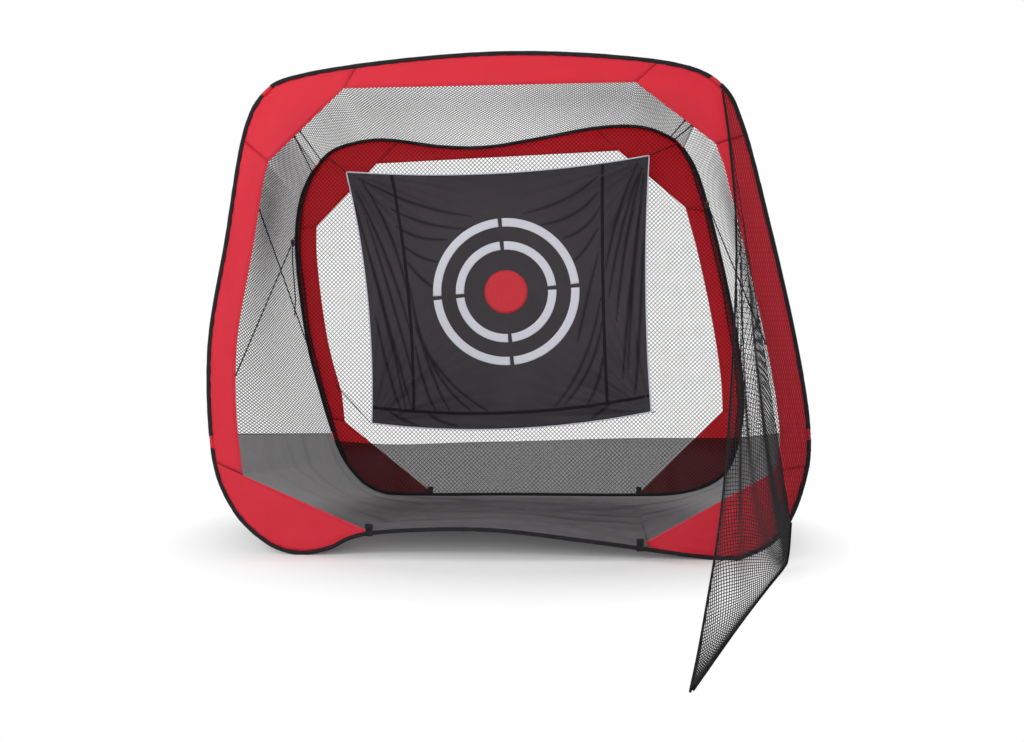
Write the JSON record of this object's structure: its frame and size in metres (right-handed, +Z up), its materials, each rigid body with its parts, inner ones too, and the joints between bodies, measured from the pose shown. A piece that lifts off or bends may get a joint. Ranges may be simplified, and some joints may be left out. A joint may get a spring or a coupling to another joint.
{
  "type": "golf chipping net",
  "caption": "Pop-up golf chipping net with rounded front and rear hoops, netting walls, a hung bullseye sheet, bracing cords and a pegged side wing.",
  "frame": {"origin": "on the ground, under the middle of the bounding box", "axes": "+Z up, +Y from the mouth towards the rear hoop, +X to the right seen from the front"},
  "size_m": [2.4419, 2.8778, 2.0047],
  "materials": {
    "red_fabric": "woven",
    "shaded_red_fabric": "woven",
    "black_webbing": "woven",
    "black_netting": "knotted",
    "fine_mesh": "fine mesh",
    "target_sheet": "matte woven",
    "pale_print": "printed",
    "red_print": "printed",
    "black_cord": "braided",
    "black_plastic": "matte",
    "spring_steel": "drawn",
    "plated_steel": "plated"
  },
  "bodies": {
    "front_frame": {"front_wire": "spring_steel", "front_ferrule": "plated_steel", "front_sleeve_top": "black_webbing", "front_sleeve_right": "black_webbing", "front_sleeve_bottom": "black_webbing", "front_sleeve_left": "black_webbing", "front_corner_wraps": "red_fabric", "front_band_top": "red_fabric", "front_band_right": "red_fabric", "front_band_left": "red_fabric", "front_gusset_top_left": "red_fabric", "front_gusset_top_right": "red_fabric", "front_gusset_bottom_left": "red_fabric", "front_gusset_bottom_right": "red_fabric", "front_peg_loops": "black_webbing", "front_cord_tabs": "black_webbing", "wing_gore": "black_netting", "roof_net": "black_netting", "left_net": "black_netting", "right_net": "black_netting", "mesh_floor": "fine_mesh", "corner_cords": "black_cord", "left_brace_high": "black_cord", "right_brace_high": "black_cord", "left_brace_low": "black_cord", "right_brace_low": "black_cord"},
    "rear_frame": {"rear_wire": "spring_steel", "rear_ferrule": "plated_steel", "rear_sleeve_top": "black_webbing", "rear_sleeve_right": "black_webbing", "rear_sleeve_bottom": "black_webbing", "rear_sleeve_left": "black_webbing", "rear_corner_wraps": "shaded_red_fabric", "rear_band_top": "shaded_red_fabric", "rear_band_right": "shaded_red_fabric", "rear_band_left": "shaded_red_fabric", "rear_gusset_top_left": "shaded_red_fabric", "rear_gusset_top_right": "shaded_red_fabric", "rear_gusset_bottom_left": "shaded_red_fabric", "rear_gusset_bottom_right": "shaded_red_fabric", "rear_peg_loops": "black_webbing", "rear_net": "black_netting", "rear_skirt": "fine_mesh", "target_ties": "black_cord"},
    "target": {"target_sheet": "target_sheet", "target_piping": "pale_print", "target_tapes": "black_webbing", "target_rings": "pale_print", "target_bullseye": "red_print"},
    "wing": {"wing_net": "black_netting", "wing_edge_cord": "black_cord", "wing_hem_cord": "black_cord"},
    "left_lock": {"left_lock_barrel": "black_plastic", "left_lock_spring": "plated_steel", "left_cord_tail": "black_cord"},
    "left_plunger": {"left_lock_plunger": "black_plastic"},
    "right_lock": {"right_lock_barrel": "black_plastic", "right_lock_spring": "plated_steel"},
    "right_plunger": {"right_lock_plunger": "black_plastic"}
  },
  "joints": [
    {"name": "frame_close", "type": "slide", "parent": "front_frame", "child": "rear_frame", "axis": [0, -1, 0], "range_m": [0, 1.24], "deforming": ["roof_net", "left_net", "right_net", "mesh_floor", "corner_cords", "left_brace_high", "right_brace_high", "left_brace_low", "right_brace_low"]},
    {"name": "target_give", "type": "slide", "parent": "rear_frame", "child": "target", "axis": [0, 1, 0], "range_m": [0, 0.1], "deforming": ["target_ties"]},
    {"name": "wing_swing", "type": "hinge", "parent": "front_frame", "child": "wing", "pos_m": [0.864, -0.0155, 1.85], "axis": [-0.1635, 0, 0.9865], "range_deg": [0, 80]},
    {"name": "left_lock_slide", "type": "slide", "parent": "rear_frame", "child": "left_lock", "axis": [-0.096, 0.8883, 0.4492], "range_m": [-0.4, 0.1]},
    {"name": "left_lock_press", "type": "slide", "parent": "left_lock", "child": "left_plunger", "axis": [-0.0483, 0.4466, -0.8935], "range_m": [0, 0.004], "stiffness_N_per_m": 900, "springref_m": -0.002, "deforming": ["left_lock_spring"]},
    {"name": "right_lock_slide", "type": "slide", "parent": "rear_frame", "child": "right_lock", "axis": [-0.028, 0.875, 0.4833], "range_m": [-0.4, 0.1]},
    {"name": "right_lock_press", "type": "slide", "parent": "right_lock", "child": "right_plunger", "axis": [-0.0155, 0.4831, -0.8755], "range_m": [0, 0.004], "stiffness_N_per_m": 900, "springref_m": -0.002, "deforming": ["right_lock_spring"]}
  ]
}
